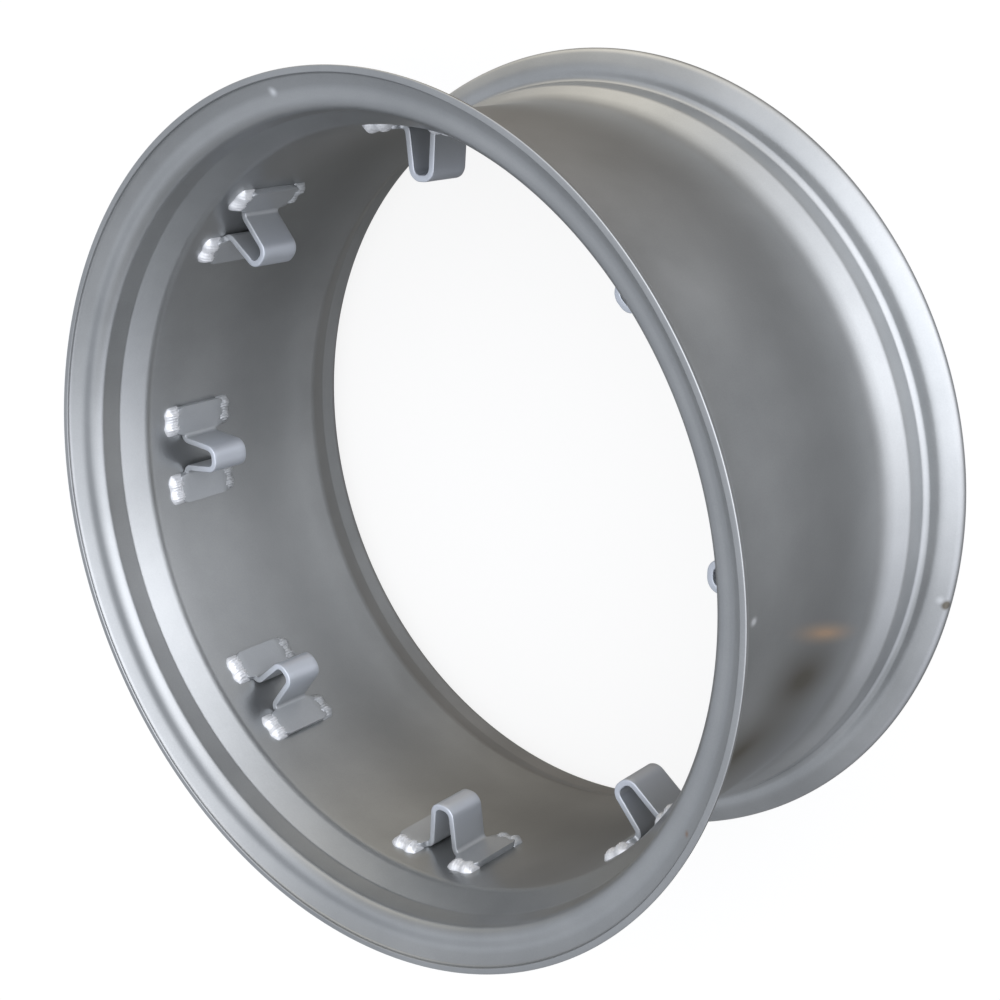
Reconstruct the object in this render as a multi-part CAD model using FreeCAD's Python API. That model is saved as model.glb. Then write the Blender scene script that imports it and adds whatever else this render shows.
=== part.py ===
# Rear tractor wheel rim: a rolled drop-centre hoop with eight welded bolt loops.
# Millimetres. +Z is the wheel's axis, from the rear lip (z = 0) to the front lip, which is nearer the loops.
import FreeCAD
import Part
import math
import os

# Driving dimensions of the hoop
nominal_bead_seat_dia = 609.6
flange_height = 25.4
width_between_flanges = 271.5
sheet = 4.8
flange_width = 14.5
heel_radius = 6.5
seat_width = 18.0
seat_taper_deg = 5.0
well_depth = 12.5
ramp_angle_deg = 26.5
shoulder_radius = 7.0
ramp_foot_radius = 14.0

# Driving dimensions of the valve hole
valve_hole_dia = 16.0
valve_from_front_lip = 72.0

# Driving dimensions of a bolt loop
loop_count = 8
strap = 5.0
strap_width = 35.0
loop_height = 42.5
crown_width = 22.0
base_width = 30.5
crown_inside_radius = 5.5
foot_bend_radius = 4.0
loop_span = 84.0
pad_width = 50.0
pad_corner_radius = 4.0
neck_gap = 1.0
neck_run = 3.0
neck_radius = 2.5
loop_from_front_lip = 106.2

# Driving dimensions of a weld bead
bead_leg = 11.0
bead_below_strap = 0.4
bead_bulge = 1.8
bead_root = 0.5
bead_length = 25.0
bead_end_radius = 4.5
bead_overlap = 4.0

# Sizes that follow from the driving ones
bead_seat_r = nominal_bead_seat_dia / 2
lip_r = bead_seat_r + flange_height
overall_width = width_between_flanges + 2 * flange_width
well_outer_r = bead_seat_r - well_depth
well_r = well_outer_r - sheet
loop_z = overall_width - loop_from_front_lip
loop_pitch_deg = 360.0 / loop_count
valve_angle_deg = 3.5 * loop_pitch_deg
clear = 10.0
widest_arc_deg = 60.0


def unit(vector):
    return vector * (1.0 / vector.Length)


def halfway(centre, first, second):
    """The point in the middle of the arc from first to second about centre."""
    arm = unit(first - centre + second - centre)
    return centre + arm * (first - centre).Length


def rounded_face(corners, place):
    """A flat face from corners (x, y, radius), with each corner rounded. place turns (x, y) into a point."""
    bends = []
    for i, (x, y, radius) in enumerate(corners):
        here = FreeCAD.Vector(x, y, 0)
        if not radius:
            bends.append([here])
            continue
        back = unit(FreeCAD.Vector(*corners[i - 1][:2], 0) - here)
        ahead = unit(FreeCAD.Vector(*corners[(i + 1) % len(corners)][:2], 0) - here)
        half = back.getAngle(ahead) / 2
        trim = radius / math.tan(half)
        centre = here + unit(back + ahead) * (radius / math.sin(half))
        start = here + back * trim
        end = here + ahead * trim
        middle = halfway(centre, start, end)
        # A wide bend is drawn as two equal arcs.
        if 180 - 2 * math.degrees(half) > widest_arc_deg:
            bends.append([start, halfway(centre, start, middle), middle, halfway(centre, middle, end), end])
        else:
            bends.append([start, middle, end])
    edges = []
    for i, points in enumerate(bends):
        for k in range(0, len(points) - 1, 2):
            edges.append(Part.Arc(*[place(point) for point in points[k:k + 3]]).toShape())
        following = bends[(i + 1) % len(bends)][0]
        if (following - points[-1]).Length > 1e-6:
            edges.append(Part.makeLine(place(points[-1]), place(following)))
    return Part.Face(Part.Wire(edges))


def inset(before, here, after, distance):
    """The corner of a line kept at a distance to the right of the path before, here, after."""
    first = unit(FreeCAD.Vector(here[0] - before[0], here[1] - before[1], 0))
    second = unit(FreeCAD.Vector(after[0] - here[0], after[1] - here[1], 0))
    right_1 = FreeCAD.Vector(first.y, -first.x, 0)
    right_2 = FreeCAD.Vector(second.y, -second.x, 0)
    step = (right_1 + right_2) * (distance / (1 + right_1.dot(right_2)))
    return here[0] + step.x, here[1] + step.y


def in_axial_plane(point):
    return FreeCAD.Vector(point.x, 0, point.y)


def in_cross_plane(point):
    return FreeCAD.Vector(point.y, point.x, 0)


def in_plan(point):
    return FreeCAD.Vector(0, point.x, point.y)


def turned(shape, degrees):
    copy = shape.copy()
    copy.rotate(FreeCAD.Vector(0, 0, 0), FreeCAD.Vector(0, 0, 1), degrees)
    return copy


def make_hoop():
    """The sheet section: lip, flange, bead seat, ramp and well, mirrored front to rear and turned about the axis."""
    flange_z = overall_width - flange_width
    seat_end_r = bead_seat_r - seat_width * math.tan(math.radians(seat_taper_deg))
    seat_end_z = flange_z - seat_width
    ramp_foot_z = seat_end_z - (seat_end_r - well_outer_r) / math.tan(math.radians(ramp_angle_deg))
    # Tyre side, from the front lip to the well, with the radius of each bend on both sides of the sheet.
    path = [
        (lip_r, overall_width),
        (lip_r, flange_z),
        (bead_seat_r, flange_z),
        (seat_end_r, seat_end_z),
        (well_outer_r, ramp_foot_z),
        (well_outer_r, overall_width / 2),
    ]
    tyre_radii = [flange_width, heel_radius, shoulder_radius + sheet, ramp_foot_radius]
    axle_radii = [flange_width - sheet, heel_radius + sheet, shoulder_radius, ramp_foot_radius + sheet]
    tyre_side = [(lip_r, overall_width, 0)]
    axle_side = [(lip_r - sheet, overall_width, 0)]
    for i in range(1, 5):
        tyre_side.append((*path[i], tyre_radii[i - 1]))
        axle_side.append((*inset(path[i - 1], path[i], path[i + 1], sheet), axle_radii[i - 1]))
    rear_tyre_side = [(r, overall_width - z, radius) for r, z, radius in reversed(tyre_side)]
    rear_axle_side = [(r, overall_width - z, radius) for r, z, radius in axle_side]
    section = tyre_side + rear_tyre_side + rear_axle_side + axle_side[::-1]
    hoop = rounded_face(section, in_axial_plane).revolve(
        FreeCAD.Vector(0, 0, 0), FreeCAD.Vector(0, 0, 1), 360)
    valve_hole = Part.makeCylinder(
        valve_hole_dia / 2, sheet + 2 * clear,
        FreeCAD.Vector(well_r - clear, 0, overall_width - valve_from_front_lip), FreeCAD.Vector(1, 0, 0))
    return hoop.cut(turned(valve_hole, valve_angle_deg))


def make_loop():
    """One pressed loop on +X: a splayed U on two wide feet that follow the well's curve."""
    crown_r = well_r - loop_height
    splay = (base_width - crown_width) / 2 / loop_height
    mouth_r = well_r + clear
    mouth_half = crown_width / 2 + splay * (mouth_r - crown_r)
    u_path = [
        (mouth_half, mouth_r),
        (crown_width / 2, crown_r),
        (-crown_width / 2, crown_r),
        (-mouth_half, mouth_r),
    ]
    crown_1 = inset(u_path[0], u_path[1], u_path[2], strap)
    crown_2 = inset(u_path[1], u_path[2], u_path[3], strap)
    slot_half = crown_1[0] + splay * (mouth_r - crown_1[1])
    crown_radius = crown_inside_radius + strap
    outside = [(*u_path[0], 0), (*u_path[1], crown_radius), (*u_path[2], crown_radius), (*u_path[3], 0)]
    inside = [
        (slot_half, mouth_r, 0),
        (*crown_1, crown_inside_radius),
        (*crown_2, crown_inside_radius),
        (-slot_half, mouth_r, 0),
    ]
    neck = base_width / 2 + neck_gap
    quarter = [
        (neck, strap_width / 2, neck_radius),
        (neck + neck_run, pad_width / 2, neck_radius),
        (loop_span / 2, pad_width / 2, pad_corner_radius),
    ]
    plan = quarter + [(y, -z, radius) for y, z, radius in reversed(quarter)]
    plan = plan + [(-y, z, radius) for y, z, radius in reversed(plan)]
    # The strap is bent at full width, then trimmed to the outline that its blank has in plan.
    full_width = pad_width + 2 * clear
    arch = rounded_face(outside, in_cross_plane).extrude(FreeCAD.Vector(0, 0, full_width))
    slot = rounded_face(inside, in_cross_plane).extrude(FreeCAD.Vector(0, 0, full_width))
    well_core = Part.makeCylinder(well_r, full_width)
    foot_top = Part.makeCylinder(well_r - strap, full_width)
    full_span = loop_span + 2 * clear
    feet = Part.makeBox(mouth_r, full_span, full_width, FreeCAD.Vector(0, -full_span / 2, 0))
    feet = feet.common(well_core).cut(foot_top)
    loop = feet.fuse(arch.common(well_core)).removeSplitter().cut(slot)
    # The bends between legs and feet: tight on the upper side, wider by the strap on the underside.
    upper_bends = []
    under_bends = []
    for edge in loop.Edges:
        first = edge.Vertexes[0].Point
        last = edge.Vertexes[-1].Point
        upright = abs(abs(first.z - last.z) - full_width) < 0.01 and abs(first.y - last.y) < 0.01
        if not upright or abs(first.y) > loop_span / 2:
            continue
        reach = math.hypot(first.x, first.y)
        if abs(reach - (well_r - strap)) < 0.05:
            upper_bends.append(edge)
        elif abs(reach - well_r) < 0.05:
            under_bends.append(edge)
    loop = loop.makeFillet(foot_bend_radius + strap, under_bends)
    upper_bends = [
        edge for edge in loop.Edges
        if any((edge.CenterOfMass - bend.CenterOfMass).Length < 0.01 for bend in upper_bends)
    ]
    loop = loop.makeFillet(foot_bend_radius, upper_bends)
    loop.translate(FreeCAD.Vector(0, 0, -full_width / 2))
    loop = loop.common(rounded_face(plan, in_plan).extrude(FreeCAD.Vector(mouth_r, 0, 0)))
    loop.translate(FreeCAD.Vector(0, 0, loop_z))
    return loop.Solids[0]


def make_beads(loop):
    """The four fillet welds of the loop on +X, across the front and rear ends of both feet."""
    pad_end = pad_width / 2
    crest_r = well_r - strap + bead_below_strap
    root_r = well_r + bead_root
    crest = FreeCAD.Vector(crest_r, 0, pad_end)
    toe = FreeCAD.Vector(root_r, 0, pad_end + bead_leg)
    chord = unit(toe - crest)
    outward = FreeCAD.Vector(-chord.z, 0, chord.x)
    belly = (toe + crest) * 0.5 + outward * bead_bulge
    root = FreeCAD.Vector(root_r, 0, pad_end - bead_overlap)
    root_top = FreeCAD.Vector(crest_r, 0, pad_end - bead_overlap)
    section = Part.Face(Part.Wire([
        Part.Arc(crest, belly, toe).toShape(),
        Part.makeLine(toe, root),
        Part.makeLine(root, root_top),
        Part.makeLine(root_top, crest),
    ]))
    section.translate(FreeCAD.Vector(0, -bead_length, 0))
    bead = section.extrude(FreeCAD.Vector(0, 2 * bead_length, 0))
    half = bead_length / 2
    ends = [
        (-half, pad_end - 2 * bead_overlap, 0),
        (half, pad_end - 2 * bead_overlap, 0),
        (half, pad_end + bead_leg, bead_end_radius),
        (-half, pad_end + bead_leg, bead_end_radius),
    ]
    bead = bead.common(rounded_face(ends, in_plan).extrude(FreeCAD.Vector(well_r + clear, 0, 0)))
    bead = bead.common(Part.makeCylinder(well_r, 2 * pad_width, FreeCAD.Vector(0, 0, -pad_width)))
    neck = base_width / 2 + neck_gap
    foot_deg = math.degrees((neck + neck_run / 2 + loop_span / 2) / 2 / well_r)
    beads = []
    for side in (1, -1):
        front = turned(bead, side * foot_deg)
        rear = front.mirror(FreeCAD.Vector(0, 0, 0), FreeCAD.Vector(0, 0, 1))
        for shape in (front, rear):
            shape.translate(FreeCAD.Vector(0, 0, loop_z))
            beads.append(shape.cut(loop).Solids[0])
    return beads


os.makedirs("parts", exist_ok=True)
make_hoop().exportStep("parts/rim_hoop.step")
first_loop = make_loop()
first_beads = make_beads(first_loop)
for index in range(loop_count):
    turn = index * loop_pitch_deg
    turned(first_loop, turn).exportStep(f"parts/loop_{index + 1}.step")
    beads = Part.makeCompound([turned(bead, turn) for bead in first_beads])
    beads.exportStep(f"parts/loop_{index + 1}_welds.step")
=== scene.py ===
# Tractor wheel rim: a silver-painted drop-centre hoop with eight welded bolt loops, lying on its rear lip.
import math

import bmesh
import bpy
from mathutils import Matrix, Vector, noise


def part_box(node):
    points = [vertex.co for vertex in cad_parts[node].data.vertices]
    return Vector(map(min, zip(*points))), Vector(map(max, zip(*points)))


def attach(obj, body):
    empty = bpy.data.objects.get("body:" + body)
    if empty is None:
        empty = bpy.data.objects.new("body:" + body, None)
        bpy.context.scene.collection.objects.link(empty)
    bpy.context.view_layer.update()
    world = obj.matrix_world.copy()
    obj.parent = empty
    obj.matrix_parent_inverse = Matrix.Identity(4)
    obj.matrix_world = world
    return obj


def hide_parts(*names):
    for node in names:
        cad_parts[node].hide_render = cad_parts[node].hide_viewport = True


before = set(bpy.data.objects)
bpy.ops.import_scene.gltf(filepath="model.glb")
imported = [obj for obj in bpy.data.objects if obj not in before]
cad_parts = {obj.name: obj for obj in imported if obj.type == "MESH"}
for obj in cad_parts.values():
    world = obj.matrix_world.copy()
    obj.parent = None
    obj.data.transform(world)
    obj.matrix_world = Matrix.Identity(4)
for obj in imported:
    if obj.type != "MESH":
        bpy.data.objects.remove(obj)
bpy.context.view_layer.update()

mm = 0.001

# Sizes of the hoop: the frame's sheet, with softer bends at the flange and outside the foot of each ramp
lip_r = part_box("rim_hoop")[1].x
overall_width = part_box("rim_hoop")[1].z
flange_height = 25.4 * mm
sheet = 4.8 * mm
flange_width = 14.0 * mm
flare_width = 8.7 * mm
flare_height = 13.5 * mm
lip_curve_radius = 8.0 * mm
flare_radius = 16.0 * mm
heel_radius = 5.5 * mm
seat_width = 19.5 * mm
seat_taper_deg = 5.0
well_depth = 12.5 * mm
ramp_angle_deg = 26.5
shoulder_radius = 7.0 * mm
ramp_foot_radius = 50.0 * mm
inner_ramp_foot_radius = 18.0 * mm
sheared_edge_radius = 0.7 * mm
valve_hole_dia = 16.0 * mm
valve_from_front_lip = 72.0 * mm
valve_angle_deg = 157.5

# Sizes of a bolt loop, as in the frame
loop_count = 8
strap = 5.0 * mm
strap_width = 35.0 * mm
loop_height = 42.5 * mm
crown_width = 22.0 * mm
base_width = 30.5 * mm
crown_inside_radius = 5.5 * mm
foot_bend_radius = 4.0 * mm
loop_span = 84.0 * mm
pad_width = 50.0 * mm
pad_corner_radius = 4.0 * mm
neck_gap = 1.0 * mm
neck_run = 3.0 * mm
strap_edge_radius = 0.9 * mm

# Sizes of a weld bead
bead_leg = 11.0 * mm
bead_length = 26.0 * mm
bead_crest = 6.6 * mm
bead_sink = 0.3 * mm
bead_end_power = 3.2
bead_end_width = 0.55
ripple_pitch = 2.6 * mm
ripple_height = 0.35 * mm
ripple_bow = 1.6 * mm

# The bead's place across the end of the foot, as shares of its leg
bead_middle = 0.22
bead_reach = 0.74

# Unevenness of a weld bead: two lumps along it, and noise
lump_mean = 0.90
lump_swing = 0.13
lump_noise = 0.1
lump_noise_waves = 5
rough_height = 0.5 * mm
rough_grain = 3 * mm
rough_across = 2
rough_start = 1.3
seed_steps = (3.1, 1.7, 2.3)

# Sizes that follow
bead_seat_r = lip_r - flange_height
well_outer_r = bead_seat_r - well_depth
well_r = well_outer_r - sheet
loop_low, loop_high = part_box("loop_1")
loop_z = (loop_low.z + loop_high.z) / 2
loop_pitch = 2 * math.pi / loop_count
foot_middle = (base_width / 2 + neck_gap + neck_run / 2 + loop_span / 2) / 2

# Mesh density, and the angles above which edges are sharp
hoop_segments = 480
valve_hole_segments = 64
bend_step_deg = 9.0
longest_run = 22.0 * mm
strap_step = 1.6 * mm
strap_corner_steps = 4
strap_face_steps = 8
bead_rows = 56
bead_columns = 22
hoop_sharp_deg = 35
loop_sharp_deg = 50
bead_sharp_deg = 180
same_point = 1e-7


def rounded_path(corners, closed):
    """Points (a, b) along a path of corners (a, b, radius), with each radius drawn as an arc."""
    points = []
    count = len(corners)
    for i, (a, b, radius) in enumerate(corners):
        here = Vector((a, b))
        at_end = not closed and i in (0, count - 1)
        if radius <= 0 or at_end:
            points.append(here)
            continue
        back = (Vector(corners[i - 1][:2]) - here).normalized()
        ahead = (Vector(corners[(i + 1) % count][:2]) - here).normalized()
        half = back.angle(ahead) / 2
        centre = here + (back + ahead).normalized() * (radius / math.sin(half))
        start = here + back * (radius / math.tan(half)) - centre
        turn = start.angle_signed(here + ahead * (radius / math.tan(half)) - centre)
        steps = max(2, math.ceil(abs(turn) / math.radians(bend_step_deg)))
        for k in range(steps + 1):
            points.append(centre + Matrix.Rotation(-turn * k / steps, 2) @ start)
    return points


def filled_in(points, closed, longest):
    """The same path with extra points, so that no run is longer than longest."""
    out = []
    last = len(points) if closed else len(points) - 1
    for i in range(last):
        first, second = points[i], points[(i + 1) % len(points)]
        pieces = max(1, math.ceil((second - first).length / longest))
        out += [first.lerp(second, k / pieces) for k in range(pieces)]
    return out if closed else out + [points[-1]]


def new_piece(name, vertices, faces, sharp_deg):
    """A smooth-shaded mesh object with its sharp edges marked by angle."""
    mesh = bpy.data.meshes.new(name)
    mesh.from_pydata(vertices, [], faces)
    build = bmesh.new()
    build.from_mesh(mesh)
    bmesh.ops.remove_doubles(build, verts=build.verts, dist=same_point)
    bmesh.ops.recalc_face_normals(build, faces=build.faces)
    build.to_mesh(mesh)
    build.free()
    mesh.shade_smooth()
    mesh.set_sharp_from_angle(angle=math.radians(sharp_deg))
    piece = bpy.data.objects.new(name, mesh)
    bpy.context.scene.collection.objects.link(piece)
    return piece


def grid_faces(rows, columns, close_rows, close_columns):
    """Quads of a grid of points that is stored row by row."""
    faces = []
    for i in range(rows if close_rows else rows - 1):
        for j in range(columns if close_columns else columns - 1):
            a, b = i * columns, (i + 1) % rows * columns
            k = (j + 1) % columns
            faces.append((a + j, b + j, b + k, a + k))
    return faces


# Hoop

def hoop_section():
    """The sheet's section as a closed list of (radius, z)."""
    flange_z = overall_width - flange_width
    seat_end_r = bead_seat_r - seat_width * math.tan(math.radians(seat_taper_deg))
    seat_end_z = flange_z - seat_width
    ramp_foot_z = seat_end_z - (seat_end_r - well_outer_r) / math.tan(math.radians(ramp_angle_deg))
    # Tyre side, from the front lip to the middle of the well
    path = [
        (lip_r, overall_width),
        (lip_r, flange_z + flare_width),
        (lip_r - flare_height, flange_z),
        (bead_seat_r, flange_z),
        (seat_end_r, seat_end_z),
        (well_outer_r, ramp_foot_z),
        (well_outer_r, overall_width / 2),
    ]
    tyre_radii = [lip_curve_radius, flare_radius, heel_radius, shoulder_radius + sheet, ramp_foot_radius]
    axle_radii = [
        lip_curve_radius - sheet,
        flare_radius - sheet,
        heel_radius + sheet,
        shoulder_radius,
        inner_ramp_foot_radius,
    ]
    tyre_side = [(lip_r, overall_width, sheared_edge_radius)]
    axle_side = [(lip_r - sheet, overall_width, sheared_edge_radius)]
    for i in range(1, len(path) - 1):
        before, here, after = (Vector(path[k]) for k in (i - 1, i, i + 1))
        first = (here - before).normalized()
        second = (after - here).normalized()
        right_1 = Vector((first.y, -first.x))
        right_2 = Vector((second.y, -second.x))
        inner = here + (right_1 + right_2) * (sheet / (1 + right_1.dot(right_2)))
        tyre_side.append((*path[i], tyre_radii[i - 1]))
        axle_side.append((*inner, axle_radii[i - 1]))
    rear_tyre_side = [(r, overall_width - z, radius) for r, z, radius in reversed(tyre_side)]
    rear_axle_side = [(r, overall_width - z, radius) for r, z, radius in axle_side]
    corners = tyre_side + rear_tyre_side + rear_axle_side + axle_side[::-1]
    return filled_in(rounded_path(corners, True), True, longest_run)


def valve_drill():
    """A cylinder through the well where the valve hole is."""
    drill = bmesh.new()
    bmesh.ops.create_cone(drill, cap_ends=True, segments=valve_hole_segments, radius1=valve_hole_dia / 2,
                          radius2=valve_hole_dia / 2, depth=6 * sheet)
    drill_mesh = bpy.data.meshes.new("valve_drill")
    drill.to_mesh(drill_mesh)
    drill.free()
    tool = bpy.data.objects.new("valve_drill", drill_mesh)
    bpy.context.scene.collection.objects.link(tool)
    turn = Matrix.Rotation(math.radians(valve_angle_deg), 4, "Z")
    place = Matrix.Translation((well_r + sheet / 2, 0, overall_width - valve_from_front_lip))
    tool.matrix_world = turn @ place @ Matrix.Rotation(math.pi / 2, 4, "Y")
    return tool


def make_hoop():
    """The section turned about the axis, with the valve hole cut."""
    section = hoop_section()
    vertices = []
    for i in range(hoop_segments):
        angle = 2 * math.pi * i / hoop_segments
        vertices += [(p.x * math.cos(angle), p.x * math.sin(angle), p.y) for p in section]
    faces = grid_faces(hoop_segments, len(section), True, True)
    hoop = new_piece("rim_hoop_painted", vertices, faces, hoop_sharp_deg)
    tool = valve_drill()
    cut = hoop.modifiers.new("valve_hole", "BOOLEAN")
    cut.object = tool
    cut.operation = "DIFFERENCE"
    cut.solver = "EXACT"
    bpy.context.view_layer.update()
    finished = bpy.data.meshes.new_from_object(hoop.evaluated_get(bpy.context.evaluated_depsgraph_get()))
    hoop.modifiers.clear()
    hoop.data = finished
    hoop.data.shade_smooth()
    hoop.data.set_sharp_from_angle(angle=math.radians(hoop_sharp_deg))
    bpy.data.objects.remove(tool)
    return hoop


# Bolt loops

def strap_half_width(y):
    """Half the strap's width at a distance y from the loop's middle: the strap, the neck, then the foot."""
    neck = base_width / 2 + neck_gap
    corner_start = loop_span / 2 - pad_corner_radius
    if y <= neck:
        return strap_width / 2
    if y < neck + neck_run:
        share = (y - neck) / neck_run
        share = share * share * (3 - 2 * share)
        return strap_width / 2 + (pad_width - strap_width) / 2 * share
    if y <= corner_start:
        return pad_width / 2
    over = min(y - corner_start, pad_corner_radius)
    return pad_width / 2 - pad_corner_radius + math.sqrt(max(0.0, pad_corner_radius ** 2 - over ** 2))


def strap_path():
    """The strap's middle line as (y, height above the well), from one foot's end to the other's."""
    splay = (base_width - crown_width) / 2 / loop_height
    lean = strap / 2 * math.sqrt(1 + splay * splay)
    foot_y = base_width / 2 - splay * strap / 2 - lean
    crown_h = loop_height - strap / 2
    crown_y = base_width / 2 - splay * crown_h - lean
    foot_r = foot_bend_radius + strap / 2
    crown_r = crown_inside_radius + strap / 2
    half = [(loop_span / 2, strap / 2, 0), (foot_y, strap / 2, foot_r), (crown_y, crown_h, crown_r)]
    corners = half + [(-y, h, radius) for y, h, radius in reversed(half)]
    return filled_in(rounded_path(corners, False), False, strap_step)


def strap_ring(half_width, half_thick):
    """A rounded rectangle (across the strap, through the strap)."""
    edge = strap_edge_radius
    corners = [
        (half_width, half_thick),
        (-half_width, half_thick),
        (-half_width, -half_thick),
        (half_width, -half_thick),
    ]
    ring = []
    for side, (w, t) in enumerate(corners):
        centre = Vector((w - math.copysign(edge, w), t - math.copysign(edge, t)))
        for k in range(strap_corner_steps + 1):
            angle = math.pi / 2 * (side + k / strap_corner_steps)
            ring.append(centre + Vector((math.cos(angle), math.sin(angle))) * edge)
        # The two wide faces get points across the strap
        if side % 2 == 0:
            following = corners[side + 1]
            start = ring[-1]
            end = Vector((following[0] + math.copysign(edge, w), following[1]))
            ring += [start.lerp(end, k / strap_face_steps) for k in range(1, strap_face_steps)]
    return ring


def on_well(y, height):
    """The distance from the axis, along the loop's own direction, of a point above the well."""
    return math.sqrt(well_r ** 2 - y ** 2) - height


def make_loop(index):
    """One strap, bent along its path and laid on the well."""
    path = strap_path()
    vertices = []
    for i, point in enumerate(path):
        before = path[max(i - 1, 0)]
        after = path[min(i + 1, len(path) - 1)]
        along = (after - before).normalized()
        normal = Vector((-along.y, along.x))
        middle_width = strap_half_width(abs(point.x))
        ring = strap_ring(middle_width, strap / 2)
        for across, through in ring:
            y = point.x + normal.x * through
            h = point.y + normal.y * through
            wider = strap_half_width(abs(y)) / middle_width
            vertices.append((on_well(y, h), y, loop_z + across * wider))
    faces = grid_faces(len(path), len(ring), False, True)
    faces.append(tuple(range(len(ring))))
    faces.append(tuple(range(len(vertices) - len(ring), len(vertices))))
    loop = new_piece(f"loop_{index + 1}_painted", vertices, faces, loop_sharp_deg)
    loop.data.transform(Matrix.Rotation(index * loop_pitch, 4, "Z"))
    return loop


# Weld beads

def make_bead(index, side, end):
    """Points and quads of one bead: a rippled fillet across the end of a foot."""
    seed = Vector((index * seed_steps[0], side * seed_steps[1], end * seed_steps[2]))
    vertices = []
    for i in range(bead_rows):
        share = i / (bead_rows - 1)
        along = (share - 0.5) * bead_length
        taper = math.sqrt(max(0.0, 1 - abs(2 * share - 1) ** bead_end_power))
        lump = lump_mean + lump_swing * math.cos(4 * math.pi * (share - 0.25))
        lump += lump_noise * noise.noise(seed + Vector((share * lump_noise_waves, 0, 0)))
        size = taper * lump
        for j in range(bead_columns):
            sweep = math.pi * j / (bead_columns - 1)
            reach = math.cos(sweep)
            bow = ripple_bow * (1 - reach * reach)
            ripple = ripple_height * math.cos(2 * math.pi * (along + bow) / ripple_pitch)
            grain = Vector((along / rough_grain, reach * rough_across, rough_start))
            rough = rough_height * noise.noise(seed + grain)
            height = math.sin(sweep) * (bead_crest + ripple + rough) * size - bead_sink
            width = bead_leg * (bead_end_width + (1 - bead_end_width) * size)
            out = (bead_middle + bead_reach * reach) * width
            y = side * foot_middle + along
            vertices.append((on_well(y, height), y, loop_z + end * (pad_width / 2 + out)))
    return vertices, grid_faces(bead_rows, bead_columns, False, False)


def make_welds(index):
    """The four beads of one loop."""
    vertices, faces = [], []
    for side in (1, -1):
        for end in (1, -1):
            points, quads = make_bead(index, side, end)
            start = len(vertices)
            vertices += points
            faces += [tuple(start + k for k in quad) for quad in quads]
    welds = new_piece(f"loop_{index + 1}_weld_beads", vertices, faces, bead_sharp_deg)
    welds.data.transform(Matrix.Rotation(index * loop_pitch, 4, "Z"))
    return welds


# Materials

mottle_scale = 9.0
flake_scale = 900.0
flake_share = 0.35
tone_start = 0.35
tone_end = 0.95
gloss_below = 0.04
gloss_above = 0.06
peel_scale = 420.0
peel_strength = 0.12
peel_depth = 0.4 * mm
floor_grey = 0.12
floor_glow = 0.86
floor_roughness = 0.9


def node(tree, kind, **inputs):
    """A new node with the values of its named inputs set."""
    made = tree.nodes.new(kind)
    for key, value in inputs.items():
        made.inputs[key.replace("_", " ")].default_value = value
    return made


def add_mark(tree, place, tone, centre, along, radii, colour, strength):
    """Lays a soft-edged mark of another colour over a tone, and gives the mixed tone."""
    spot = node(tree, "ShaderNodeMapping", Location=centre, Scale=radii)
    spot.vector_type = "TEXTURE"
    spot.inputs["Rotation"].default_value = Vector(along).to_track_quat("Z", "Y").to_euler()
    fade = tree.nodes.new("ShaderNodeTexGradient")
    fade.gradient_type = "QUADRATIC_SPHERE"
    amount = tree.nodes.new("ShaderNodeMath")
    amount.operation = "MULTIPLY"
    amount.use_clamp = True
    amount.inputs[1].default_value = strength
    mix = tree.nodes.new("ShaderNodeMix")
    mix.data_type = "RGBA"
    mix.inputs["B"].default_value = (*colour, 1)
    tree.links.new(place.outputs["Object"], spot.inputs["Vector"])
    tree.links.new(spot.outputs["Vector"], fade.inputs["Vector"])
    tree.links.new(fade.outputs["Fac"], amount.inputs[0])
    tree.links.new(amount.outputs[0], mix.inputs["Factor"])
    tree.links.new(tone, mix.inputs["A"])
    return mix.outputs["Result"]


def silver_paint(name, dark, light, metallic, roughness, marks=()):
    """Aluminium-flake paint: mottled colour, uneven gloss, a fine orange-peel bump and any marks."""
    material = bpy.data.materials.new(name)
    material.use_nodes = True
    tree = material.node_tree
    shader = tree.nodes["Principled BSDF"]
    shader.inputs["Metallic"].default_value = metallic
    place = tree.nodes.new("ShaderNodeTexCoord")
    mottle = node(tree, "ShaderNodeTexNoise", Scale=mottle_scale, Detail=4.0, Roughness=0.6)
    flake = node(tree, "ShaderNodeTexNoise", Scale=flake_scale, Detail=2.0, Roughness=0.7)
    peel = node(tree, "ShaderNodeTexNoise", Scale=peel_scale, Detail=2.0, Roughness=0.5)
    for texture in (mottle, flake, peel):
        tree.links.new(place.outputs["Object"], texture.inputs["Vector"])
    blend = tree.nodes.new("ShaderNodeMath")
    blend.operation = "MULTIPLY_ADD"
    blend.inputs[1].default_value = flake_share
    tree.links.new(flake.outputs["Fac"], blend.inputs[0])
    tree.links.new(mottle.outputs["Fac"], blend.inputs[2])
    tone = tree.nodes.new("ShaderNodeValToRGB")
    tone.color_ramp.elements[0].position = tone_start
    tone.color_ramp.elements[0].color = (*dark, 1)
    tone.color_ramp.elements[1].position = tone_end
    tone.color_ramp.elements[1].color = (*light, 1)
    tree.links.new(blend.outputs[0], tone.inputs["Fac"])
    colour = tone.outputs["Color"]
    for mark in marks:
        colour = add_mark(tree, place, colour, *mark)
    tree.links.new(colour, shader.inputs["Base Color"])
    gloss = node(tree, "ShaderNodeMapRange", To_Min=roughness - gloss_below, To_Max=roughness + gloss_above)
    tree.links.new(mottle.outputs["Fac"], gloss.inputs["Value"])
    tree.links.new(gloss.outputs["Result"], shader.inputs["Roughness"])
    bump = node(tree, "ShaderNodeBump", Strength=peel_strength, Distance=peel_depth)
    tree.links.new(peel.outputs["Fac"], bump.inputs["Height"])
    tree.links.new(bump.outputs["Normal"], shader.inputs["Normal"])
    return material


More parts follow.
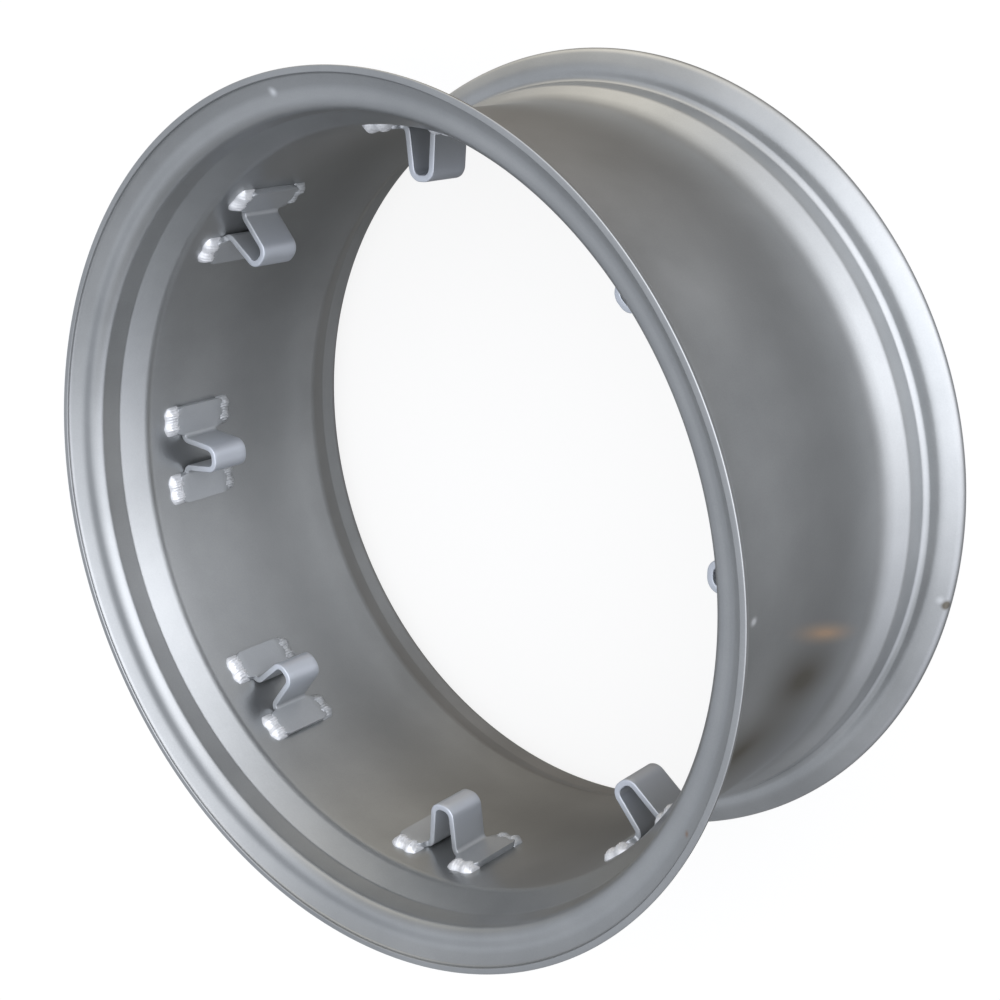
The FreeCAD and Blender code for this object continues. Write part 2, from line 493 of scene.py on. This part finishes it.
def pale_floor():
    """A near-white floor that is lit mostly by its own glow."""
    material = bpy.data.materials.new("pale_floor")
    material.use_nodes = True
    shader = material.node_tree.nodes["Principled BSDF"]
    shader.inputs["Base Color"].default_value = (floor_grey, floor_grey, floor_grey, 1)
    shader.inputs["Roughness"].default_value = floor_roughness
    shader.inputs["Specular IOR Level"].default_value = 0.0
    shader.inputs["Emission Color"].default_value = (1, 1, 1, 1)
    shader.inputs["Emission Strength"].default_value = floor_glow
    return material


# Colours of the paint, of the marks on it, and of the painted shade, painted reflections and painted
# highlight
rim_dark = (0.30, 0.31, 0.315)
rim_light = (0.40, 0.41, 0.415)
foot_dark = (0.31, 0.325, 0.34)
foot_light = (0.41, 0.425, 0.44)
crown_painted_reflection = (0.52, 0.55, 0.60)
# The bead paint is lighter than the loops', partly as the welds' own paint and partly as a painted
# highlight
bead_dark_with_highlight = (0.60, 0.61, 0.63)
bead_light_with_highlight = (0.78, 0.79, 0.81)
painted_shade = (0.14, 0.145, 0.145)
painted_warm_reflection = (0.60, 0.43, 0.30)
soot_and_painted_reflection = (0.13, 0.12, 0.10)
rust = (0.30, 0.17, 0.09)
bare = (0.80, 0.82, 0.84)

# Marks in metres: centre, long direction, radii, colour and strength
upright = (0.0, 0.0, 1.0)
along_streak = (0.07, 0.31, -0.95)
endless = 10.0
hoop_marks = [
    # A band of painted shade round the middle and rear of the well, inside and outside
    ((0.0, 0.0, 0.12), upright, (0.60, 0.60, 0.11), painted_shade, 1.6),
    # A painted warm reflection as an orange streak on the outside of the well, with darker painted
    # reflection beside it
    ((-0.286, 0.060, 0.122), along_streak, (0.012, 0.012, 0.070), painted_warm_reflection, 1.3),
    ((-0.276, 0.093, 0.135), along_streak, (0.045, 0.045, 0.085), soot_and_painted_reflection, 1.3),
    ((-0.260, 0.133, 0.190), upright, (0.060, 0.060, 0.110), soot_and_painted_reflection, 1.1),
    # A pale speck on the well, and a nick in the rear lip
    ((-0.292, 0.018, 0.228), upright, (0.005, 0.005, 0.006), bare, 2.0),
    ((-0.322, 0.066, 0.006), upright, (0.006, 0.006, 0.006), soot_and_painted_reflection, 3.0),
    ((-0.320, 0.062, 0.012), upright, (0.006, 0.006, 0.006), bare, 1.5),
    # A pale speck and a rust fleck on the front flange
    ((0.062, -0.312, 0.291), upright, (0.006, 0.006, 0.006), bare, 2.0),
    ((-0.287, 0.144, 0.293), upright, (0.004, 0.004, 0.004), rust, 2.0),
]
# A painted sky reflection: the loops are lighter and bluer above the well, fading back to the feet's tone
# within a few millimetres of it
crown_painted_reflection_marks = [((0.0, 0.0, loop_z), upright, (well_r, well_r, endless), crown_painted_reflection, 60.0)]
# The rear beads get the loop's lighter tone in place of the bead paint, without its painted highlight
rear_bead_marks = [((0.0, 0.0, loop_z - 0.028), upright, (endless, endless, 0.030), foot_light, 2.0)]

rim_paint = silver_paint("rim_paint", rim_dark, rim_light, 0.88, 0.31, hoop_marks)
loop_paint = silver_paint("loop_paint", foot_dark, foot_light, 0.6, 0.36, crown_painted_reflection_marks)
bead_paint_with_highlight = silver_paint("bead_paint_with_highlight", bead_dark_with_highlight, bead_light_with_highlight, 0.4, 0.38, rear_bead_marks)

# Assembly

hoop = make_hoop()
hoop.data.materials.clear()
hoop.data.materials.append(rim_paint)
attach(hoop, "root")
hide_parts("rim_hoop")
for index in range(loop_count):
    loop = make_loop(index)
    loop.data.materials.append(loop_paint)
    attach(loop, "root")
    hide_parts(f"loop_{index + 1}")
    welds = make_welds(index)
    welds.data.materials.append(bead_paint_with_highlight)
    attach(welds, "root")
    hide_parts(f"loop_{index + 1}_welds")

# Floor

floor_half = 4.0
floor_corners = [(x * floor_half, y * floor_half, 0) for x, y in ((-1, -1), (1, -1), (1, 1), (-1, 1))]
floor_mesh = bpy.data.meshes.new("floor")
floor_mesh.from_pydata(floor_corners, [], [(0, 1, 2, 3)])
floor = bpy.data.objects.new("floor", floor_mesh)
floor.data.materials.append(pale_floor())
bpy.context.scene.collection.objects.link(floor)
floor.visible_diffuse = False
floor.visible_glossy = False
floor.visible_shadow = False

# Light: a pale studio all round, brightest behind the camera, over a dark ground

# Each glow: azimuth and elevation in degrees, tightness and colour
sky_tone = (0.38, 0.39, 0.41)
sky_glows = [
    (208, 10, 4, (1.80, 1.82, 1.90)),
    (190, 45, 12, (0.70, 0.72, 0.78)),
    (200, -6, 30, (1.0, 1.0, 1.05)),
    (143, 2, 16, (0.60, 0.62, 0.70)),
    (300, -14, 14, (1.50, 1.35, 1.08)),
    (20, 25, 10, (0.25, 0.27, 0.31)),
    (30, 80, 18, (0.40, 0.42, 0.46)),
    (236, 66, 10, (1.20, 1.22, 1.28)),
    (240, 6, 14, (0.45, 0.45, 0.47)),
]
ground_tone = (0.115, 0.112, 0.104)
ground_glows = [
    (205, -40, 4, (0.25, 0.26, 0.28)),
    (306, -50, 10, (0.07, 0.04, 0.01)),
]

# The heights, as the Z of a direction, between which ground turns into sky
ground_height = -0.78
sky_height = -0.34


def toward(azimuth_deg, elevation_deg):
    """The unit vector of a direction."""
    azimuth = math.radians(azimuth_deg)
    elevation = math.radians(elevation_deg)
    flat = math.cos(elevation)
    return Vector((flat * math.cos(azimuth), flat * math.sin(azimuth), math.sin(elevation)))


def surroundings(tree, looking, base, glows):
    """A plain tone with broad glows added to it, each about its own direction."""
    tone = tree.nodes.new("ShaderNodeCombineXYZ")
    for channel in range(3):
        tone.inputs[channel].default_value = base[channel]
    so_far = tone.outputs[0]
    for azimuth_deg, elevation_deg, tightness, colour in glows:
        alike = tree.nodes.new("ShaderNodeVectorMath")
        alike.operation = "DOT_PRODUCT"
        alike.inputs[1].default_value = toward(azimuth_deg, elevation_deg)
        nearness = tree.nodes.new("ShaderNodeMath")
        nearness.operation = "MULTIPLY_ADD"
        nearness.inputs[1].default_value = 0.5
        nearness.inputs[2].default_value = 0.5
        falloff = tree.nodes.new("ShaderNodeMath")
        falloff.operation = "POWER"
        falloff.inputs[1].default_value = tightness
        glow = tree.nodes.new("ShaderNodeVectorMath")
        glow.operation = "SCALE"
        glow.inputs[0].default_value = colour
        total = tree.nodes.new("ShaderNodeVectorMath")
        total.operation = "ADD"
        tree.links.new(looking.outputs["Generated"], alike.inputs[0])
        tree.links.new(alike.outputs["Value"], nearness.inputs[0])
        tree.links.new(nearness.outputs[0], falloff.inputs[0])
        tree.links.new(falloff.outputs[0], glow.inputs["Scale"])
        tree.links.new(so_far, total.inputs[0])
        tree.links.new(glow.outputs[0], total.inputs[1])
        so_far = total.outputs[0]
    return so_far


def studio():
    """The sky's surroundings above and the ground's below, blended by the direction's height."""
    world = bpy.data.worlds.new("studio")
    world.use_nodes = True
    tree = world.node_tree
    looking = tree.nodes.new("ShaderNodeTexCoord")
    sky = surroundings(tree, looking, sky_tone, sky_glows)
    ground = surroundings(tree, looking, ground_tone, ground_glows)
    height = tree.nodes.new("ShaderNodeSeparateXYZ")
    horizon = node(tree, "ShaderNodeMapRange", From_Min=ground_height, From_Max=sky_height)
    horizon.interpolation_type = "SMOOTHSTEP"
    blend = tree.nodes.new("ShaderNodeMix")
    blend.data_type = "VECTOR"
    tree.links.new(looking.outputs["Generated"], height.inputs[0])
    tree.links.new(height.outputs["Z"], horizon.inputs["Value"])
    tree.links.new(horizon.outputs["Result"], blend.inputs["Factor"])
    tree.links.new(ground, blend.inputs["A"])
    tree.links.new(sky, blend.inputs["B"])
    tree.links.new(blend.outputs["Result"], tree.nodes["Background"].inputs["Color"])
    return world


bpy.context.scene.world = studio()

# Camera

camera_location = Vector((-0.8240, -0.3739, 1.1158))
camera_azimuth_deg = 205.03
camera_elevation_deg = 47.26
camera_roll_deg = -110.09
camera_lens = 61.03
camera_sensor = 36.0

camera_back = toward(camera_azimuth_deg, camera_elevation_deg)
camera_aim = camera_back.to_track_quat("Z", "Y").to_matrix()
camera_roll = Matrix.Rotation(math.radians(camera_roll_deg), 3, "Z")
camera_data = bpy.data.cameras.new("camera")
camera_data.lens = camera_lens
camera_data.sensor_width = camera_sensor
camera = bpy.data.objects.new("camera", camera_data)
camera.matrix_world = Matrix.Translation(camera_location) @ (camera_aim @ camera_roll).to_4x4()
bpy.context.scene.collection.objects.link(camera)
bpy.context.scene.camera = camera

bpy.context.scene.view_settings.view_transform = "Standard"
